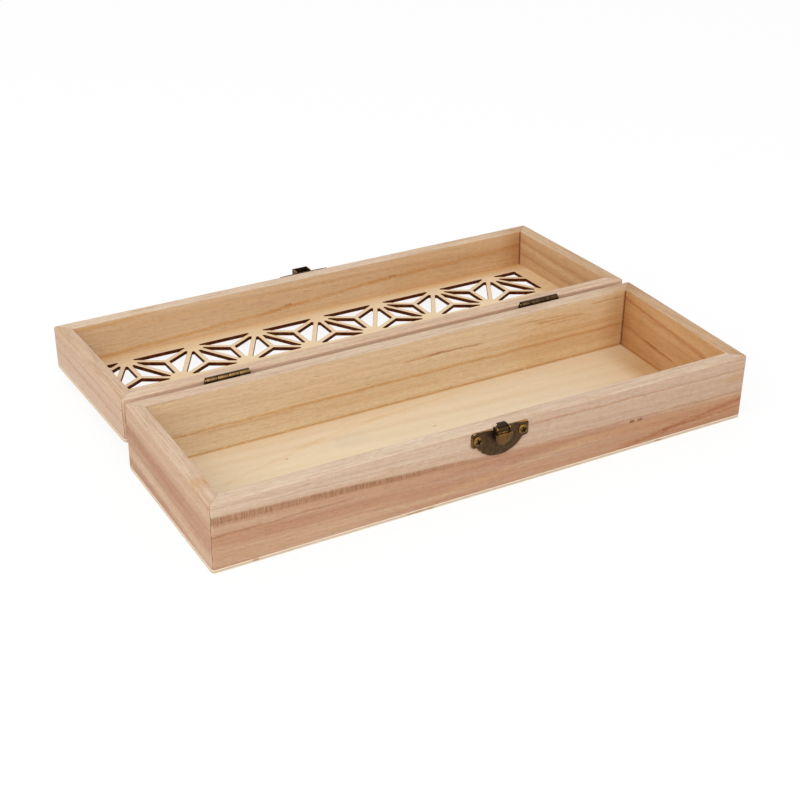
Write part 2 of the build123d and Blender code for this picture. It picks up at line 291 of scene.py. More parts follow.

# each wall's two colours, painted light on its rim and painted light and shade on its inner face (its rim and
# inner tints), and its own lines: where each starts and ends (along and up) and how wide it is, in
# millimetres, then its strength and its tint
wallLooks = {
    "base_front_wall": {
        "pale": (209, 186, 163), "deep": (188, 145, 114), "seed": 1, "slope": 0.045,
        "edge": [
            (-150, 29.7), (-117, 28), (-84, 26.3), (-50, 23.9), (-30, 22.8), (-8, 21.2), (28, 19.4),
            (73, 18.2), (105, 17.4), (150, 16.3),
        ],
        "edgeTop": 40, "edgeSoft": (1.2, 2.8), "streaks": 0.46, "pores": 0.2, "rays": 0.26,
        "rim": (1.11, 1.19, 1.24), "inner": (1.02, 0.95, 0.8),
        "lines": [
            (-170, 19.3, -70, 18.9, 0.7, 0.6, "brown"), (-148, 15.4, 40, 15, 3.4, 0.5, "heart"),
            (-160, 10.3, -46, 10.2, 1.1, 0.85, "honey"), (-170, 5.6, 60, 7.6, 2.4, 0.6, "honey"),
            (-80, 17.6, 60, 18, 0.9, 0.4, "honey"), (24, 13.2, 180, 15, 2.6, 1, "honey"),
            (-44, 5.6, 66, 15, 2, 0.9, "honey"), (-30, 28, 330, 26, 22, 0.4, "heart"),
            (-60, 11, 20, 13, 1.4, 0.45, "heart"), (40, 5, 400, 5, 15, 0.5, "amber"),
            (66, 1.6, 172, 14.6, 1.9, 0.9, "rust"), (88, 6.2, 172, 8, 1.1, 0.75, "rust"),
            (70, 2.4, 180, 4, 2.4, 0.5, "heart"), (0, 32, 172, 29, 0.8, 0.7, "rust"),
            (24, 19.4, 170, 16, 0.7, 0.5, "brown"), (76.8, 16.4, 80, 16.6, 1.1, 1, "knot"),
            (81.6, 16.6, 85, 16.4, 1.1, 1, "knot"), (136, 25, 164, 25, 5, 0.8, "tan"),
            (-168, 34.6, -40, 31, 0.8, 0.45, "grey"), (-130, 31.4, -10, 27, 0.7, 0.45, "grey"),
            (-70, 28.2, 6, 25, 0.7, 0.45, "rust"), (30, 27.4, 170, 25.2, 1.6, 0.4, "tan"),
            (40, 23.2, 170, 21.4, 0.9, 0.35, "heart"),
        ],
    },
    "base_back_wall": {
        "pale": (210, 188, 160), "deep": (203, 171, 140), "seed": 2.3, "slope": 0.01,
        "streaks": 0.36, "pores": 0.34,
        "rim": (1.01, 1.01, 1.07), "inner": (1.16, 1.14, 1.03),
        "lines": [
            (-200, 15.4, 200, 15.9, 1.5, 0.85, "amber"), (-190, 15.2, 190, 15.7, 0.6, 0.4, "rust"),
            (-122, 13.4, -56, 13.2, 0.9, 0.6, "rust"),
            (-2, 24.9, 26, 25.8, 1, 0.9, "rust"), (14, 25.9, 50, 24.9, 0.8, 0.9, "brown"),
            (80, 28.5, 118, 27.7, 1.1, 0.8, "rust"), (90, 26.4, 110, 26.2, 0.6, 0.7, "rust"),
            (-50, 10, 30, 9.4, 1.4, 0.45, "amber"), (30, 20, 170, 21, 2, 0.4, "amber"),
            # the wide amber line and the shade line are painted shade towards the right end, and the wide
            # pale lines along the foot and at the left end are painted light
            (60, 12, 220, 14, 30, 0.6, "amber"), (-260, 3, 260, 3, 10, 0.9, "pale"),
            (-300, 9, -50, 9, 24, 0.6, "pale"), (124, 20, 210, 20, 60, 0.62, "shade"),
            (66, 30.6, 104, 30, 0.7, 0.7, "rust"), (118, 33, 142, 32.6, 0.7, 0.8, "rust"),
        ],
    },
    "base_left_wall": {
        "pale": (196, 164, 136), "deep": (184, 144, 116), "seed": 3.9, "slope": 0.05, "bands": 0.45,
        "rim": (1.14, 1.25, 1.33), "inner": (1.1, 1.06, 0.9),
        "lines": [
            (-66, 31.6, -22, 38, 1, 0.7, "amber"), (-76, 15.4, 76, 23, 8.5, 0.9, "heart"),
            (-90, 33.5, 90, 36, 8, 0.6, "pale"), (-30, 17.6, 76, 24.6, 3, 0.45, "rust"),
            (-76, 4.6, 76, 14.6, 3, 1, "pale"), (-40, 1, 80, 7.4, 3.6, 1, "heart"),
            (-40, 6, 90, 11.4, 1.4, 0.7, "pale"),
            (-66, 12.4, 66, 16.4, 1, 0.35, "brown"), (-66, 28.4, 66, 31, 1.6, 0.5, "pale"),
            (-66, 22, 66, 25, 1.2, 0.3, "brown"),
        ],
    },
    "base_right_wall": {
        "pale": (190, 157, 120), "deep": (170, 129, 86), "seed": 5.2, "slope": -0.06,
        "bands": 0.5, "fibres": 0.3, "pores": 0.32,
        "rim": (1.14, 1.22, 1.37), "inner": (1.14, 1.01, 0.78),
        "lines": [
            (-44, 24.8, 66, 33.2, 1.9, 0.8, "rust"), (-4, 12.2, 11, 12.7, 1, 1, "rust"),
            (10, 13.2, 23, 13.8, 1.2, 1, "rust"), (0, 12.6, 66, 16.6, 1.5, 0.6, "rust"),
            (-46, 20.4, 50, 23, 1.6, 0.3, "rust"), (0, 6.4, 66, 7.4, 2.8, 0.3, "rust"),
            # the two shade lines are painted shade towards the back corner
            (8, 16, 150, 16, 60, 0.35, "shade"), (33, 16, 100, 16, 60, 0.6, "shade"),
            (-90, 10, 14, 10, 12, 0.5, "pale"),
        ],
    },
    "lid_front_wall": {
        "pale": (210, 186, 160), "deep": (197, 165, 132), "seed": 6.4, "pores": 0.34,
        "rim": (1.07, 1.11, 1.17), "inner": (1.04, 0.92, 0.74),
        "lines": [
            (-150, -21.4, 4, -15.4, 1.6, 0.95, "amber"), (-38, -17, 56, -11.4, 1.5, 0.95, "amber"),
            (20, -12.9, 180, -8.7, 1.8, 0.95, "amber"), (-18, -14.9, -13, -14.6, 0.8, 0.8, "brown"),
            (50, -11.5, 56, -11.2, 0.8, 0.8, "brown"), (-200, -4.6, -90, -1.4, 1.6, 0.9, "amber"),
            (-160, -7, 56, -5.4, 1.4, 0.45, "amber"),
            # the wide amber line and the shade line are painted shade towards the right end, and the wide
            # pale lines along the foot and at the left end are painted light
            (40, -16, 220, -13, 30, 0.4, "amber"), (-260, -22, 260, -22, 14, 0.9, "pale"),
            (-320, -13, -20, -13, 22, 0.5, "pale"), (126, -10, 210, -10, 40, 0.7, "shade"),
        ],
    },
    "lid_back_wall": {
        "pale": (212, 182, 156), "deep": (194, 155, 125), "seed": 7.7, "fibres": 0.26,
        "rim": (1.06, 1.16, 1.2), "inner": (1, 0.9, 0.74),
        "lines": [
            (-170, -12, 120, -9, 1.4, 0.45, "rust"), (-170, -18, 90, -16, 2.4, 0.6, "heart"),
        ],
    },
    "lid_left_wall": {
        "pale": (205, 179, 156), "deep": (192, 157, 127), "seed": 8.1, "slope": 0.03,
        "streaks": 0.4, "fibres": 0.26, "pores": 0.2,
        "rim": (1.04, 1.03, 0.97), "inner": (1, 0.92, 0.76),
        "lines": [
            (-70, -14, 70, -11, 1.8, 0.6, "heart"), (-70, -7, 70, -5, 0.9, 0.45, "rust"),
        ],
    },
    "lid_right_wall": {
        "pale": (200, 171, 136), "deep": (184, 145, 106), "seed": 9.6, "slope": -0.04,
        "bands": 0.45, "pores": 0.28,
        "rim": (1.04, 1.06, 1.08), "inner": (1.06, 0.96, 0.82),
        "lines": [
            (-60, -9.4, 60, -5.6, 1.6, 0.6, "rust"), (-36, -17, 60, -14, 1.4, 0.5, "rust"),
        ],
    },
}

# tints of the marks in every wall, and the marks that only some places have
grainTints = {
    "Streaks": (0.8, 0.68, 0.57),
    "Fibres": (0.82, 0.74, 0.66),
    "Mottle": (0.84, 0.77, 0.7),
    "Pores": (0.55, 0.42, 0.32),
    "Rays": (0.88, 0.8, 0.76),
}
rimLook = {
    "fade": (0.55, 0.2), "innerFade": (0.5, 0.1), "pale": (1.06, 1.09, 1.11), "dark": (0.84, 0.76, 0.7),
}
tornLook = {
    "deepAt": -150, "shallowAt": -20, "depths": (4.8, 2.4), "fade": (-50, 0), "face": (-50.2, -50.7),
    "tint": (0.6, 0.48, 0.33),
}
glueLook = {"fade": (3.3, 2.5), "tint": (0.82, 0.62, 0.38), "crumbs": (1.35, 1.5, 1.7)}


def curveThrough(tree, value, points):  # a smooth run through points already scaled to 0..1
    node = addNode(tree, "FloatCurve", {"Value": value})
    curve = node.mapping.curves[0]
    while len(curve.points) < len(points):
        curve.points.new(0.5, 0.5)
    for spot, (x, y) in zip(curve.points, points):
        spot.location = (x, y)
    node.mapping.update()
    return node.outputs["Value"]


def addLines(tree, board, lines, marks):
    for *places, strength, tint in lines:
        line = useGroup(tree, lineGroup, {"Board": board, **dict(zip(lineInputs, places))})["Mask"]
        marks.append((times(tree, line, strength), lineTints[tint]))


def makeWoodMaterial(name, body, side):
    look = {**plainWood, **wallLooks[name]}
    material, tree, shader = newMaterial(name + "_wood")
    inFrame = frameVector(tree, body)
    board = boardVector(tree, inFrame, side)
    parts = split(tree, board)
    grain = useGroup(tree, grainGroup, {"Board": board, "Seed": look["seed"], "Slope": look["slope"]})
    warmth = times(tree, grain["Bands"], look["bands"])
    if "edge" in look:  # heartwood below a boundary that wanders along the board
        half = look["edge"][-1][0]
        points = [((x + half) / (2 * half), z / look["edgeTop"]) for x, z in look["edge"]]
        edge = curveThrough(tree, remap(tree, parts["X"], -half, half), points)
        below = minus(tree, times(tree, edge, look["edgeTop"]), parts["Z"])
        soft = remap(tree, parts["X"], -half, half, *look["edgeSoft"])
        heart = remap(tree, doMath(tree, "DIVIDE", below, soft), -1.0, 1.0, 0.0, 1.0, "SMOOTHSTEP")
        warmth = times(tree, warmth, remap(tree, heart, 0, 1, 0.45, 1.0))
        warmth = plus(tree, warmth, times(tree, heart, 0.68), clamp=True)
    colour = blendColour(tree, warmth, linear(look["pale"]), linear(look["deep"]))

    # painted light on the rim, and painted light and shade on the face that looks into the box, as tints
    rimAt = (baseShape if body == "base" else lidShape)["rim"] * 1000
    onRim = remap(tree, parts["Z"], *(rimAt - down for down in rimLook["fade"]))
    reach = insideWidth if side in ("near", "far") else insideLength
    onInner = remap(tree, absolute(tree, parts["Y"]), *(reach + past for past in rimLook["innerFade"]))
    onInner = times(tree, onInner, minus(tree, 1.0, onRim))
    rimGrain = cloud(tree, stretch(tree, board, (0.03, 0.75, 0), (look["seed"], 0, 0)), detail=4.0, rough=0.7)
    marks = [
        (onRim, look["rim"]),
        (times(tree, onRim, remap(tree, rimGrain, 0.52, 0.38)), rimLook["pale"]),
        (times(tree, onRim, remap(tree, rimGrain, 0.5, 0.66)), rimLook["dark"]),
        (onInner, look["inner"]),
    ]
    for label, tint in grainTints.items():
        marks.append((times(tree, grain[label], look[label.lower()]), tint))
    addLines(tree, board, look["lines"], marks)
    if "edge" in look:  # torn grain just under the boundary, with upright ticks
        depth = remap(tree, parts["X"], tornLook["deepAt"], tornLook["shallowAt"], *tornLook["depths"])
        inside = doMath(tree, "DIVIDE", below, depth)
        stripe = times(tree, remap(tree, inside, -0.15, 0.2), remap(tree, inside, 1.15, 0.75))
        stripe = times(tree, stripe, remap(tree, parts["X"], *tornLook["fade"], 1.0, 0.0))
        stripe = times(tree, stripe, remap(tree, split(tree, inFrame)["Y"], *tornLook["face"]))
        ticks = cloud(tree, stretch(tree, board, (1.7, 0.4, 0.22)), detail=2.0, rough=0.6)
        torn = times(tree, stripe, remap(tree, ticks, 0.36, 0.66, 0.3, 1.0))
        marks.append((torn, tornLook["tint"]))
    if body == "base":  # glue squeezed out along the floor, with pale crumbs in it
        low = times(tree, remap(tree, parts["Z"], *glueLook["fade"]), onInner)
        crumbs = cloud(tree, stretch(tree, board, (0.32, 0.6, 0.6)), detail=2.0)
        marks.append((times(tree, low, 0.9), glueLook["tint"]))
        marks.append((times(tree, low, remap(tree, crumbs, 0.62, 0.7)), glueLook["crumbs"]))
    mitre = useGroup(tree, mitreGroup, {"Frame": inFrame, "Rim": rimAt})["Mask"]
    marks.append((times(tree, mitre, mitreLook["strength"]), mitreLook["tint"]))
    colour = tinted(tree, colour, marks)
    tree.links.new(colour, shader.inputs["Base Color"])
    tree.links.new(remap(tree, grain["Mottle"], 0, 1, 0.58, 0.78), shader.inputs["Roughness"])
    height = minus(tree, times(tree, grain["Fibres"], -0.6), grain["Pores"])
    height = minus(tree, height, times(tree, grain["Mottle"], 0.7))
    relief(tree, shader, height, 0.00008, 0.7)
    return material


# from a bmesh to an object in the scene
def newObject(name, data):
    thing = bpy.data.objects.new(name, data)
    bpy.context.collection.objects.link(thing)
    return thing


def asObject(name, bm):
    mesh = bpy.data.meshes.new(name)
    bm.to_mesh(mesh)
    bm.free()
    return newObject(name, mesh)


def finishPiece(name, bm, body, material, replaced, sharp=32):
    piece = asObject(name, bm)
    for face in piece.data.polygons:
        face.use_smooth = True
    piece.data.set_sharp_from_angle(angle=radians(sharp))
    piece.data.materials.append(material)
    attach(piece, body)
    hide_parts(*replaced)


def bevelEdges(bm, edges, radius, segments, clamp=True):
    return bmesh.ops.bevel(
        bm, geom=edges, offset=radius, offset_type="OFFSET", segments=segments, profile=0.5,
        affect="EDGES", clamp_overlap=clamp, material=-1,
    )


def roundCorners(bm):  # the outer corner edges of a block
    reach = boxShape["length"] / 2 - 1e-4
    upright = [e for e in bm.edges if (e.verts[0].co - e.verts[1].co).xy.length < 1e-6
               and all(abs(v.co.x) > reach for v in e.verts)]
    bevelEdges(bm, upright, boxShape["cornerRadius"], boxShape["cornerSteps"])


# a ring of four walls with its rounded corners and eased rim, foot at its own level
def makeRing(foot, rim):
    length, width, wall = boxShape["length"], boxShape["width"], boxShape["wall"]
    bm = bmesh.new()
    block = Matrix.Translation((0, 0, (foot + rim) / 2)) @ Matrix.Diagonal((length, width, rim - foot, 1))
    bmesh.ops.create_cube(bm, size=1, matrix=block)
    bm.normal_update()
    ends = [f for f in bm.faces if abs(f.normal.z) > 0.9]
    bmesh.ops.inset_region(bm, faces=ends, thickness=wall, use_even_offset=True)
    bmesh.ops.delete(bm, geom=ends, context="FACES_ONLY")
    bmesh.ops.bridge_loops(bm, edges=[e for e in bm.edges if len(e.link_faces) == 1])
    roundCorners(bm)

    def ringEdges(level, outside):
        found = []
        for e in bm.edges:
            if any(abs(v.co.z - level) > 1e-6 for v in e.verts) or e.calc_face_angle(0) < 1:
                continue
            past = [abs(v.co.x) > length / 2 - wall + 1e-4 or abs(v.co.y) > width / 2 - wall + 1e-4
                    for v in e.verts]
            if all(past) == outside:
                found.append(e)
        return found

    for level, outside, label in ((rim, True, "rim"), (rim, False, "inner"), (foot, True, "foot")):
        bevelEdges(bm, ringEdges(level, outside), boxShape[label + "Round"], boxShape[label + "Steps"])
    return bm


def cutAt(bm, place, outwards):  # what is past a plane goes
    geom = bm.verts[:] + bm.edges[:] + bm.faces[:]
    bmesh.ops.bisect_plane(bm, geom=geom, dist=1e-7, plane_co=place, plane_no=outwards, clear_outer=True)


def cutWall(ring, side):
    halfLength, halfWidth = boxShape["length"] / 2, boxShape["width"] / 2
    bm = ring.copy()
    if side in ("near", "far"):
        front = 1 if side == "near" else -1
        cuts = [((end * halfLength, -front * halfWidth, 0), (end, front, 0)) for end in (-1, 1)]
        cuts.insert(0, ((0, 0, 0), (0, front, 0)))
    else:
        end = -1 if side == "left" else 1
        cuts = [((end * halfLength, front * halfWidth, 0), (-end, front, 0)) for front in (-1, 1)]
    for corner, outwards in cuts:
        outwards = Vector(outwards).normalized()
        corner = Vector(corner) - outwards * boxShape["jointPull"]
        cutAt(bm, corner, outwards)
    bmesh.ops.holes_fill(bm, edges=[e for e in bm.edges if e.is_boundary], sides=0)
    bmesh.ops.recalc_face_normals(bm, faces=bm.faces)
    return bm


def buildFrame(body, shape, place, walls):
    ring = makeRing(shape["foot"], shape["rim"])
    for side, wall in zip(("near", "far", "left", "right"), walls):
        nodeName = f"{body}_{wall}_wall"
        bm = cutWall(ring, side)
        bmesh.ops.transform(bm, matrix=place, verts=bm.verts)
        material = makeWoodMaterial(nodeName, body, side)
        finishPiece(nodeName + "_board", bm, body, material, [nodeName])
    ring.free()
    print("walls of the", body)


buildFrame("base", baseShape, Matrix.Identity(4), ("front", "back", "left", "right"))
buildFrame("lid", lidShape, lidMiddle, ("back", "front", "left", "right"))


# plywood sheets: the base's floor and the lid's panel; a mark has its strength and its tint
plyLook = {
    "face": (231, 214, 186), "shade": (221, 196, 160), "core": (198, 174, 146), "skin": (228, 214, 194),
    "burn": (68, 28, 7), "burnLight": (140, 72, 28), "scorch": (172, 112, 62),
    "figure": 0.4, "slope": 0.05, "seeds": {"base": 4.4, "lid": 8.8},
    "fibres": (0.2, (0.86, 0.79, 0.7)), "mottle": (0.34, (0.9, 0.85, 0.78)), "glue": (0.8, (0.88, 0.72, 0.5)),
    "flakes": (0.35, (0.74, 0.62, 0.5)),
    "tints": {"base": (1, 1, 1), "lid": (0.99, 0.94, 0.88)}, "shine": {"base": 0.4, "lid": 0.04},
}

sheetLines = {
    "base": [(-124, 10, -52, 29, 2, 0.5, "tan"), (-76, 25, -14, 35, 2, 0.5, "tan"),
             # the wide amber line and the shade line are painted shade towards the right wall
             (-34, 33, 40, 38.4, 2, 0.5, "tan"), (84, 0, 330, 0, 60, 0.3, "amber"),
             (122, 0, 196, 0, 60, 0.85, "shade"),
             (-54, 20, -30, 22, 8, 0.55, "blue"), (-80.6, 19.2, -78.4, 19.2, 0.8, 0.7, "brown"),
             (0.8, 13, 3.4, 13, 0.8, 0.7, "brown"), (-140, -10, 60, 6, 2, 0.25, "tan"),
             (20, 20, 150, 30, 3, 0.3, "tan")],
    # the amber and grey lines along the far wall are painted shade with painted warm bounce light, and the
    # shade line is painted shade at the right end
    "lid": [(-200, 44, 200, 44, 7, 0.8, "amber"), (-20, -38, 140, -34, 1.4, 0.25, "tan"),
            (40, 43, 330, 42, 9, 0.5, "amber"), (-200, 42, 330, 42, 14, 0.43, "grey"),
            (120, 0, 210, 0, 60, 0.6, "shade")],
}

# brown flaws in the front edge of the floor
edgeLines = [(-130.5, 1.2, -127, 1.2, 0.9, 0.9, "brown"), (-52, 0.9, -35, 1.1, 0.8, 0.8, "brown"),
             (94, 1.1, 99, 1, 0.8, 0.8, "brown")]


def makePlyMaterial(name, body, bottom, burnt):
    material, tree, shader = newMaterial(name)
    inFrame = frameVector(tree, body)
    parts = split(tree, inFrame)
    board = addNode(tree, "CombineXYZ", {0: parts["X"], 1: parts["Z"], 2: parts["Y"]}).outputs[0]
    grain = useGroup(tree, grainGroup, {
        "Board": board, "Seed": plyLook["seeds"][body], "Slope": plyLook["slope"],
    })
    figure = times(tree, grain["Bands"], plyLook["figure"])
    colour = blendColour(tree, figure, linear(plyLook["face"]), linear(plyLook["shade"]))
    marks = [(1.0, plyLook["tints"][body])]
    for label in ("Fibres", "Mottle"):
        strength, tint = plyLook[label.lower()]
        marks.append((times(tree, grain[label], strength), tint))
    addLines(tree, board, sheetLines[body], marks)
    if body == "base":  # glue along the foot of the walls
        reach = [minus(tree, absolute(tree, parts[axis]), edge)
                 for axis, edge in (("X", insideLength), ("Y", insideWidth))]
        glue = remap(tree, doMath(tree, "MAXIMUM", *reach), -1.6, -0.4)
        strength, tint = plyLook["glue"]
        marks.append((times(tree, glue, strength), tint))
    colour = tinted(tree, colour, marks)

    # the sheet's edge: two pale skins and a tan core
    level = minus(tree, parts["Z"], bottom)
    waver = cloud(tree, stretch(tree, inFrame, (0.05, 0.05, 0.4)), detail=2.0)
    level = plus(tree, level, times(tree, minus(tree, waver, 0.5), 0.3))
    inCore = times(tree, remap(tree, level, 0.4, 0.8), remap(tree, level, 1.65, 1.25))
    layers = blendColour(tree, inCore, linear(plyLook["skin"]), linear(plyLook["core"]))
    flakes = cloud(tree, stretch(tree, inFrame, (0.25, 0.25, 2.0)), detail=3.0)
    strength, tint = plyLook["flakes"]
    marks = [(remap(tree, flakes, 0.5, 0.72, 0, strength), tint)]
    if body == "base":
        addLines(tree, inFrame, edgeLines, marks)
    layers = tinted(tree, layers, marks)
    tilt = split(tree, addNode(tree, "TexCoord").outputs["Normal"])["Z"]
    onEdge = remap(tree, absolute(tree, tilt), 0.75, 0.45)
    colour = blendColour(tree, onEdge, colour, layers)
    if burnt:  # laser-cut openings: brown walls, lighter low down, and a scorched rim
        soot = cloud(tree, stretch(tree, inFrame, (0.5, 0.5, 0.6)), detail=3.0, rough=0.6)
        sooty = remap(tree, soot, 0.3, 0.7, 0.6, 1.2)
        dark = times(tree, remap(tree, level, -0.6, 0.5), sooty, clamp=True)
        charred = blendColour(tree, dark, linear(plyLook["burnLight"]), linear(plyLook["burn"]))
        scorched = times(tree, painted(tree, "scorch"), 0.55)
        colour = blendColour(tree, scorched, colour, linear(plyLook["scorch"]))
        colour = blendColour(tree, painted(tree, "cutWall"), colour, charred)
    tree.links.new(colour, shader.inputs["Base Color"])
    tree.links.new(remap(tree, grain["Mottle"], 0, 1, 0.55, 0.72), shader.inputs["Roughness"])
    shader.inputs["Specular IOR Level"].default_value = plyLook["shine"][body]
    relief(tree, shader, plus(tree, grain["Fibres"], grain["Mottle"]), 0.00003, 0.5)
    return material


def buildBaseFloor():
    bm = bmesh.new()
    thick = baseShape["foot"]
    size = Matrix.Diagonal((boxShape["length"], boxShape["width"], thick, 1))
    block = Matrix.Translation((0, 0, thick / 2)) @ size
    bmesh.ops.create_cube(bm, size=1, matrix=block)
    roundCorners(bm)
    rims = [e for e in bm.edges if e.calc_face_angle(0) > 1]
    bevelEdges(bm, rims, baseShape["plyRound"], 2)
    material = makePlyMaterial("base_ply", "base", 0.0, False)
    finishPiece("base_floor_sheet", bm, "base", material, ["base_floor"])


def mergedCopy(nodeName):  # a CAD node's triangles joined into clean faces
    bm = bmesh.new()
    bm.from_mesh(nodes[nodeName].data)
    bm.verts.layers.float.new("wear")
    bmesh.ops.remove_doubles(bm, verts=bm.verts, dist=2e-6)
    bmesh.ops.dissolve_limit(bm, angle_limit=radians(0.6), verts=bm.verts, edges=bm.edges)
    return bm


panelShape = {"plainEdge": 0.003, "scorched": 0.00035}


def buildLidPanel():
    bm = mergedCopy("lid_panel")
    wallMark = bm.faces.layers.float.new("cutWall")
    scorch = bm.verts.layers.float.new("scorch")
    toLocal = lidMiddle.inverted()
    halfLength = boxShape["length"] / 2 - panelShape["plainEdge"]
    halfWidth = boxShape["width"] / 2 - panelShape["plainEdge"]
    bm.normal_update()
    up = lidMiddle.to_3x3() @ Vector((0, 0, 1))
    for way in (1, -1):
        sheet = [f for f in bm.faces if f.normal.dot(up) * way > 0.5]
        bmesh.ops.inset_region(
            bm, faces=sheet, thickness=panelShape["scorched"], use_even_offset=True, use_boundary=True)
    bm.normal_update()
    for f in bm.faces:
        spot = toLocal @ f.calc_center_median()
        if abs(f.normal.dot(up)) < 0.5 and abs(spot.x) < halfLength and abs(spot.y) < halfWidth:
            f[wallMark] = 1.0
            for v in f.verts:
                v[scorch] = 1.0
    bottom = (lidShape["foot"] - lidShape["ply"]) * 1000
    material = makePlyMaterial("lid_ply", "lid", bottom, True)
    finishPiece("lid_panel_sheet", bm, "lid", material, ["lid_panel"])


buildBaseFloor()
buildLidPanel()
print("plywood sheets")


# aged metal: worn high spots, with any painted highlight that comes in with the wear, stains and grit
def makePatinaGroup():
    tree, given, put = newGroup("patina", "Place", ("Wear And Highlight", "Scale"), ("Worn And Highlight", "Stain", "Grit"))
    spot = stretch(tree, given["Place"], (1000, 1000, 1000))
    broad = cloud(tree, spot, given["Scale"], 3.0)
    fine = cloud(tree, spot, 2.6, 3.0, 0.65)
    wearAndHighlight = plus(tree, given["Wear And Highlight"], remap(tree, broad, 0.35, 0.7, -0.3, 0.14))
    wearAndHighlight = plus(tree, wearAndHighlight, remap(tree, fine, 0.3, 0.7, -0.06, 0.06))
    tree.links.new(remap(tree, wearAndHighlight, 0.3, 1.0), put.inputs["Worn And Highlight"])
    tree.links.new(remap(tree, broad, 0.3, 0.7), put.inputs["Stain"])
    tree.links.new(remap(tree, fine, 0.25, 0.75), put.inputs["Grit"])
    return tree


patinaGroup = makePatinaGroup()

# dark and stained metal, bright and smoother where worn; a painted highlight brightens the faces turned one
# way, the tongue stays dark above tipFrom, and painted shade darkens the push button towards its rim, over a
# span measured from its middle
metalLooks = {
    "agedBronze": {
        "dark": (70, 53, 38), "stain": (94, 72, 48), "bright": (188, 138, 74), "rough": (0.46, 0.28),
        "lift": 0.0, "paintedHighlight": 0.85, "highlightToward": (0, -0.5, 0.87),
    },
    # the two hinges share one finish: the right one is a darker copy, as painted shade, with a weaker painted
    # highlight
    "leftHingeBronzeLit": {
        "dark": (64, 48, 31), "stain": (92, 70, 44), "bright": (170, 134, 84), "rough": (0.46, 0.36),
        "lift": 0.0, "paintedHighlight": 0.95, "highlightToward": (0, -0.82, 0.57), "shadowTo": 0.03695,
    },
    "rightHingeBronzeShaded": {
        "dark": (56, 42, 28), "stain": (80, 60, 38), "bright": (150, 116, 72), "rough": (0.48, 0.36),
        "lift": 0.0, "paintedHighlight": 0.6, "highlightToward": (0, -0.82, 0.57), "shadowTo": 0.03695,
    },
    "rockerBronze": {
        "dark": (102, 75, 41), "stain": (124, 92, 49), "bright": (216, 168, 95), "rough": (0.4, 0.26),
        "lift": 0.05, "paintedHighlight": 0.9, "highlightToward": (0, -0.5, 0.87), "tipFrom": 0.0347,
        "tip": (62, 48, 34), "button": (-0.001, -0.0555, 0.0322), "buttonShadeFade": (0.0032, 0.0048),
    },
    "screwBrass": {
        "dark": (96, 68, 36), "stain": (132, 96, 50), "bright": (196, 148, 80), "rough": (0.42, 0.3),
        "lift": 0.06,
    },
}
# tints for grit and dirt, and the colour of the painted shadow under the hinge barrels
dirtAndShadeTints = {"grit": (0.86, 0.82, 0.78), "darkening": (0.03, 0.018, 0.01, 1), "dirt": (0.02, 0.011, 0.005, 1)}


def makeMetal(name):
    look = metalLooks[name]
    material, tree, shader = newMaterial(name)
    place = addNode(tree, "TexCoord").outputs["Object"]
    wear = painted(tree, "wear")
    dirt = painted(tree, "dirt")
    wear = plus(tree, wear, look["lift"])
    if "paintedHighlight" in look:  # painted highlight: faces turned towards one direction are brightened, by adding to the wear
        highlightToward = {0: addNode(tree, "TexCoord").outputs["Normal"], 1: look["highlightToward"]}
        facing = addNode(tree, "VectorMath", highlightToward, operation="DOT_PRODUCT").outputs["Value"]
        wear = plus(tree, wear, remap(tree, facing, 0.84, 0.97, 0.0, look["paintedHighlight"]))
    marks = useGroup(tree, patinaGroup, {"Place": place, "Wear And Highlight": wear, "Scale": 0.4})
    wearAndHighlight = marks["Worn And Highlight"]
    colour = blendColour(tree, marks["Stain"], linear(look["dark"]), linear(look["stain"]))
    if "tip" in look:
        height = split(tree, place)["Z"]
        tip = remap(tree, height, look["tipFrom"] - 0.0003, look["tipFrom"] + 0.0003)
        colour = blendColour(tree, tip, colour, linear(look["tip"]))
        wearAndHighlight = times(tree, wearAndHighlight, remap(tree, tip, 0, 1, 1.0, 0.12))
    colour = blendColour(tree, wearAndHighlight, colour, linear(look["bright"]))
    colour = tinted(tree, colour, [(marks["Grit"], dirtAndShadeTints["grit"])])
    if "button" in look:  # painted shade: the push button darkens towards its rim, as its rounding would shade it
        ends = {0: place, 1: look["button"]}
        gap = addNode(tree, "VectorMath", ends, operation="DISTANCE").outputs["Value"]
        rim = remap(tree, gap, *look["buttonShadeFade"])
        colour = blendColour(tree, times(tree, rim, 0.6), colour, linear(look["tip"]))
    if "shadowTo" in look:  # painted shadow where the barrel sinks between the rims
        height = split(tree, place)["Z"]
        sunk = remap(tree, height, look["shadowTo"], look["shadowTo"] - 0.00035)
        colour = blendColour(tree, times(tree, sunk, 0.85), colour, dirtAndShadeTints["darkening"])
    colour = blendColour(tree, dirt, colour, dirtAndShadeTints["dirt"])
    rough = remap(tree, wearAndHighlight, 0, 1, *look["rough"])
    rough = plus(tree, rough, times(tree, dirt, 0.35), clamp=True)
    tree.links.new(colour, shader.inputs["Base Color"])
    tree.links.new(rough, shader.inputs["Roughness"])
    tree.links.new(remap(tree, dirt, 0, 1, 1.0, 0.7), shader.inputs["Metallic"])
    relief(tree, shader, marks["Grit"], 0.00003, 0.5)
    return material


agedBronze = makeMetal("agedBronze")
hingeBronze = {"left": makeMetal("leftHingeBronzeLit"), "right": makeMetal("rightHingeBronzeShaded")}
rockerBronze = makeMetal("rockerBronze")
screwBrass = makeMetal("screwBrass")


# rounds the chosen edges and marks the middle of each round as worn
def wornBevel(bm, edges, radius, segments, wear=1.0, clamp=True):
    layer = bm.verts.layers.float["wear"]
    made = bevelEdges(bm, edges, radius, segments, clamp)
    faces = set(made["faces"])
    for v in made["verts"]:
        inside = all(f in faces for f in v.link_faces)
        v[layer] = max(v[layer], wear if inside else 0.25 * wear)


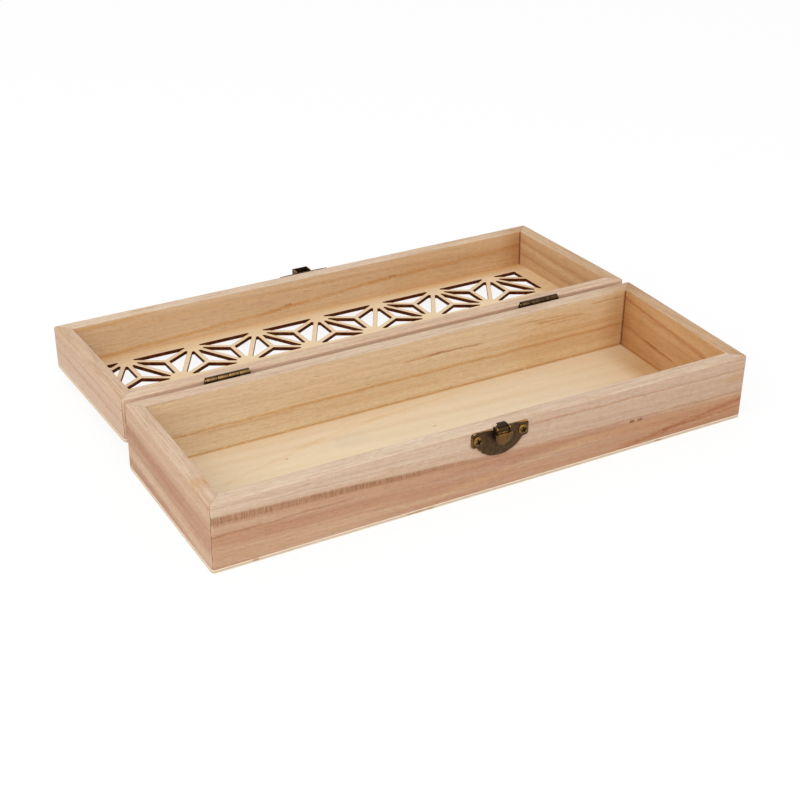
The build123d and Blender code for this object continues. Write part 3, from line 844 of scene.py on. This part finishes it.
def sharpEdges(bm, test=lambda e: True, angle=40):
    return [e for e in bm.edges if e.is_manifold and e.is_convex
            and e.calc_face_angle(0) > radians(angle) and test(e)]


plateShape = {
    "thick": 0.001, "edge": 0.0005, "edgeWear": 0.62, "fine": 0.00014, "fineWear": 0.6, "middle": -0.001,
    "cheekZone": 0.0049, "cheekFrom": {"base": 0.03, "lid": -0.012}, "holeZone": 0.0019,
    "cell": 0.0008, "rubbed": 0.0012,
}


def gapTo(spot, start, end):  # how far a place on the front is from one edge
    share = intersect_point_line(spot, start, end)[1]
    return (start.lerp(end, min(max(share, 0), 1)) - spot).xz.length


# a stamped plate with its outline rolled over; toPlate turns world places into its frame's
def buildPlate(kind, body, toPlate, facing):
    nodeName = kind + "_plate"
    bm = mergedCopy(nodeName)
    faceAt = facing * (boxShape["width"] / 2 + plateShape["thick"])
    screws = [f"{kind}_screw_{number}" for number in (1, 2)]
    holes = [toPlate @ (sum((Vector(c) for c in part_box(screw)), Vector()) / 2) for screw in screws]

    def isOutline(e):
        spots = [toPlate @ v.co for v in e.verts]
        middle = (spots[0] + spots[1]) / 2
        if any(abs(spot.y - faceAt) > 1e-5 for spot in spots):
            return False
        if any(abs(spot.x - plateShape["middle"]) < plateShape["cheekZone"]
               and spot.z > plateShape["cheekFrom"][body] for spot in spots):
            return False
        return all((middle - hole).xz.length > plateShape["holeZone"] for hole in holes)

    def standsOut(e):
        return all(abs((toPlate @ v.co).y) > abs(faceAt) + 1e-5 for v in e.verts)

    rolled = sharpEdges(bm, isOutline)
    outline = [[toPlate @ v.co for v in e.verts] for e in rolled]
    wornBevel(bm, rolled, plateShape["edge"], 4, plateShape["edgeWear"], clamp=False)
    wornBevel(bm, sharpEdges(bm, standsOut), plateShape["fine"], 2, plateShape["fineWear"])

    # the front cut into cells, so that the rubbed border can fade over it
    for axis, (low, high) in enumerate(zip(*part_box(nodeName))):
        if axis == 1:  # the plate's own thickness
            continue
        for step in range(1, int((high - low) / plateShape["cell"])):
            front = [f for f in bm.faces if all(abs((toPlate @ v.co).y - faceAt) < 1e-5 for v in f.verts)]
            around = list({e for f in front for e in f.edges}) + list({v for f in front for v in f.verts})
            spot = [0.0, 0.0, 0.0]
            spot[axis] = low + step * plateShape["cell"]
            way = [float(axis == other) for other in range(3)]
            bmesh.ops.bisect_plane(bm, geom=front + around, dist=1e-6, plane_co=spot, plane_no=way)
    layer = bm.verts.layers.float["wear"]
    for v in bm.verts:
        spot = toPlate @ v.co
        if abs(spot.y) > abs(faceAt) + 1e-5:
            continue
        gap = min(gapTo(spot, *ends) for ends in outline)
        v[layer] = max(v[layer], plateShape["edgeWear"] * (1 - gap / plateShape["rubbed"]))
    finishPiece(nodeName + "_stamping", bm, body, agedBronze, [nodeName])


rockerShape = {"edge": 0.00016, "edgeSteps": 3}


def buildRocker():
    bm = mergedCopy("catch_rocker")
    wornBevel(bm, sharpEdges(bm), rockerShape["edge"], rockerShape["edgeSteps"])
    finishPiece("catch_rocker_casting", bm, "rocker", rockerBronze, ["catch_rocker"])


leafShape = {
    "edge": 0.00014, "edgeWear": 0.7, "sharpFrom": 50,
    "knuckleRound": 0.00026, "facet": 0.0009, "darkening": 0.85,
}


def buildLeaf(nodeName, body, material):
    bm = mergedCopy(nodeName)
    dirt = bm.faces.layers.float.new("dirt")

    def aroundKnuckle(e):
        return abs(e.verts[0].co.x - e.verts[1].co.x) < 1e-6 and e.calc_length() < leafShape["facet"]

    sharp = sharpEdges(bm, aroundKnuckle, leafShape["sharpFrom"])
    wornBevel(bm, sharp, leafShape["knuckleRound"], 3, 0.0)
    sharp = sharpEdges(bm, angle=leafShape["sharpFrom"])
    wornBevel(bm, sharp, leafShape["edge"], 2, leafShape["edgeWear"])
    bm.normal_update()
    for f in bm.faces:  # the knuckles' end faces, in the joints between them, are darkened
        f[dirt] = leafShape["darkening"] if abs(f.normal.x) > 0.6 else 0.0
    finishPiece(nodeName + "_strip", bm, body, material, [nodeName])


pinShape = {"sides": 28, "endRound": 0.00018, "endWear": 0.8}


def buildPin(nodeName, body, material):
    low, high = (Vector(c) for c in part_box(nodeName))
    bm = bmesh.new()
    bm.verts.layers.float.new("wear")
    radius = (high.z - low.z) / 2
    turn = Matrix.Translation((low + high) / 2) @ Matrix.Rotation(radians(90), 4, "Y")
    bmesh.ops.create_cone(bm, cap_ends=True, segments=pinShape["sides"], radius1=radius, radius2=radius,
                          depth=high.x - low.x, matrix=turn)
    ends = [e for e in bm.edges if abs(e.verts[0].co.x - e.verts[1].co.x) < 1e-6]
    wornBevel(bm, ends, pinShape["endRound"], 2, pinShape["endWear"])
    finishPiece(nodeName + "_rod", bm, body, material, [nodeName])


buildPlate("catch", "base", Matrix.Identity(4), -1)
buildPlate("keeper", "lid", lidMiddle.inverted(), 1)
buildRocker()
for hand in ("left", "right"):
    buildLeaf(f"hinge_{hand}_base_leaf", "base", hingeBronze[hand])
    buildLeaf(f"hinge_{hand}_lid_leaf", "lid", hingeBronze[hand])
    buildPin(f"hinge_{hand}_pin", "lid", agedBronze)
buildPin("catch_pin", "base", agedBronze)
print("hinges and latch")


# screws: a domed head with a cross, a ridged shank and a point, standing on z = 0
screwShapes = {
    "hinge": {"head": 0.002, "rise": 0.00125, "shank": 0.0009, "length": 0.0065, "plate": 0.0009,
              "slotLong": 0.0026, "slotWide": 0.00065},
    "catch": {"head": 0.0026, "rise": 0.0011, "shank": 0.0011, "length": 0.0065, "plate": 0.001,
              "slotLong": 0.0036, "slotWide": 0.0011},
}
screwCut = {
    "ridges": 9, "root": 0.72, "point": 0.15,
    "turns": (20, 110), "deep": 1.3, "taper": 0.8, "dirtFrom": 0.00006,
}


def cutAway(bm, cutter):  # the first shape less the second
    body, tool = asObject("blank", bm), asObject("cutter", cutter)
    cut = body.modifiers.new("cut", "BOOLEAN")
    cut.object, cut.operation, cut.solver = tool, "DIFFERENCE", "EXACT"
    bpy.context.view_layer.update()
    mesh = bpy.data.meshes.new_from_object(body.evaluated_get(bpy.context.evaluated_depsgraph_get()))
    left = bmesh.new()
    left.from_mesh(mesh)
    for thing in (body, tool):
        old = thing.data
        bpy.data.objects.remove(thing)
        bpy.data.meshes.remove(old)
    bpy.data.meshes.remove(mesh)
    return left


def makeScrew(shape):
    bm = bmesh.new()
    dome = Matrix.Diagonal((shape["head"], shape["head"], shape["rise"], 1))
    bmesh.ops.create_uvsphere(bm, u_segments=32, v_segments=18, radius=1, matrix=dome)
    cutAt(bm, (0, 0, 0), (0, 0, -1))
    tip = bmesh.ops.holes_fill(bm, edges=[e for e in bm.edges if e.is_boundary], sides=0)["faces"]
    bmesh.ops.inset_region(bm, faces=tip, thickness=shape["head"] - shape["shank"], use_even_offset=True)
    steps = screwCut["ridges"]
    reach = shape["length"] + shape["plate"]
    for step in range(1, steps + 1):
        made = bmesh.ops.extrude_face_region(bm, geom=tip)["geom"]
        bmesh.ops.delete(bm, geom=tip, context="FACES_ONLY")  # or the old face stays inside
        tip = [g for g in made if isinstance(g, bmesh.types.BMFace)]
        ring = list({v for f in tip for v in f.verts})
        bmesh.ops.translate(bm, verts=ring, vec=(0, 0, -reach / steps))
        radius = shape["shank"] * (screwCut["root"] if step % 2 else 1.0)
        radius *= screwCut["point"] if step == steps else 1.0
        now = sum(v.co.xy.length for v in ring) / len(ring)
        bmesh.ops.scale(bm, vec=(radius / now, radius / now, 1), verts=ring)
    bmesh.ops.recalc_face_normals(bm, faces=bm.faces)
    for turn in screwCut["turns"]:  # one arm of the cross at a time, narrower at the bottom
        cutter = bmesh.new()
        arm = Matrix.Rotation(radians(turn), 4, "Z") @ Matrix.Translation((0, 0, shape["rise"])) @ \
            Matrix.Diagonal((shape["slotLong"], shape["slotWide"], shape["rise"] * screwCut["deep"], 1))
        bmesh.ops.create_cube(cutter, size=1, matrix=arm)
        bottom = [v for v in cutter.verts if v.co.z < shape["rise"]]
        bmesh.ops.scale(cutter, vec=(screwCut["taper"], screwCut["taper"], 1), verts=bottom)
        bm = cutAway(bm, cutter)
    dirt = bm.faces.layers.float.new("dirt")
    wear = bm.verts.layers.float.new("wear")
    for f in bm.faces:
        spot = f.calc_center_median()
        skin = shape["rise"] * max(1 - (spot.xy.length / shape["head"]) ** 2, 0) ** 0.5
        f[dirt] = 1.0 if 0 < spot.z < skin - screwCut["dirtFrom"] else 0.0
    for v in bm.verts:
        v[wear] = 0.1 + 0.45 * min(v.co.xy.length / shape["head"], 1)
    return bm


def buildScrew(nodeName, body, kind, out):
    low, high = (Vector(c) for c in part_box(nodeName))
    outwards = Vector(out).normalized()
    shape = screwShapes[kind]
    bm = makeScrew(shape)
    span = shape["rise"] + shape["length"] + shape["plate"]
    middle = (low + high) / 2
    seat = middle + outwards * (span / 2 - shape["rise"])
    turn = Vector((0, 0, 1)).rotation_difference(outwards).to_matrix().to_4x4()
    bmesh.ops.transform(bm, matrix=Matrix.Translation(seat) @ turn, verts=bm.verts)
    finishPiece(nodeName + "_turned", bm, body, screwBrass, [nodeName], sharp=40)


lidOut = lidMiddle.to_3x3() @ Vector((0, 1, 0))
for number in (1, 2):
    buildScrew(f"catch_screw_{number}", "base", "catch", (0, -1, 0))
    buildScrew(f"keeper_screw_{number}", "lid", "catch", lidOut)
    for hand in ("left", "right"):
        buildScrew(f"hinge_{hand}_base_screw_{number}", "base", "hinge", (0, 1, 0))
        buildScrew(f"hinge_{hand}_lid_screw_{number}", "lid", "hinge", -lidOut)
print("screws")


# floor, light and camera
studio = {
    "floorSize": 12.0,
    "floorColour": (0.93, 0.93, 0.93, 1),
    "floorWhite": 0.88,
    "ambient": 0.72,
    "keyPlace": (-0.7, -1.3, 2.1), "keySize": 1.8, "keyPower": 26.0,
    "fillPlace": (-1.7, -0.5, 1.1), "fillSize": 1.8, "fillPower": 14.0,
    "aim": (0, 0.03, 0.02),
}


def whiteToCamera(tree):
    path = addNode(tree, "LightPath").outputs
    seen = plus(tree, path["Is Camera Ray"], path["Is Glossy Ray"], clamp=True)
    return plus(tree, seen, path["Is Transmission Ray"], clamp=True)


def buildStudio():
    bm = bmesh.new()
    bmesh.ops.create_grid(bm, x_segments=1, y_segments=1, size=studio["floorSize"] / 2)
    floor = asObject("studio_floor", bm)
    material, tree, shader = newMaterial("studio_floor_white")
    shader.inputs["Base Color"].default_value = studio["floorColour"]
    shader.inputs["Roughness"].default_value = 0.9
    shader.inputs["Specular IOR Level"].default_value = 0.0
    glow = addNode(tree, "Emission", {"Color": (1, 1, 1, 1), "Strength": 1.0})
    share = times(tree, whiteToCamera(tree), studio["floorWhite"])
    both = addNode(tree, "MixShader", {0: share, 1: shader.outputs[0], 2: glow.outputs[0]})
    tree.links.new(both.outputs[0], tree.nodes["Material Output"].inputs["Surface"])
    floor.data.materials.append(material)

    world = bpy.data.worlds.new("studio")
    bpy.context.scene.world = world
    world.use_nodes = True
    tree = world.node_tree
    dim = tree.nodes["Background"]
    dim.inputs["Color"].default_value = (1, 1, 1, 1)
    dim.inputs["Strength"].default_value = studio["ambient"]
    white = addNode(tree, "Background", {"Color": (1, 1, 1, 1), "Strength": 1.0})
    both = addNode(tree, "MixShader", {0: whiteToCamera(tree), 1: dim.outputs[0], 2: white.outputs[0]})
    tree.links.new(both.outputs[0], tree.nodes["World Output"].inputs["Surface"])

    for name in ("key", "fill"):
        lamp = bpy.data.lights.new(name + "_softbox", "AREA")
        lamp.shape = "SQUARE"
        lamp.size = studio[name + "Size"]
        lamp.energy = studio[name + "Power"]
        thing = newObject(lamp.name, lamp)
        thing.location = studio[name + "Place"]
        towards = Vector(studio["aim"]) - thing.location
        thing.rotation_euler = towards.to_track_quat("-Z", "Y").to_euler()


cameraView = {
    "place": (-0.364617, -0.588707, 0.412184),
    "azimuth": -29.876, "elevation": 29.3, "roll": 1.013, "lens": 71.25,
}


def buildCamera():
    lens = bpy.data.cameras.new("camera")
    lens.sensor_width = 36
    lens.lens = cameraView["lens"]
    lens.clip_start = 0.01
    camera = newObject("camera", lens)
    turn = Matrix.Rotation(radians(cameraView["azimuth"]), 4, "Z") @ \
        Matrix.Rotation(radians(90 - cameraView["elevation"]), 4, "X") @ \
        Matrix.Rotation(radians(cameraView["roll"]), 4, "Z")
    camera.matrix_world = Matrix.Translation(cameraView["place"]) @ turn
    bpy.context.scene.camera = camera


buildStudio()
buildCamera()
bpy.context.scene.view_settings.view_transform = "Standard"
print("floor, light and camera")
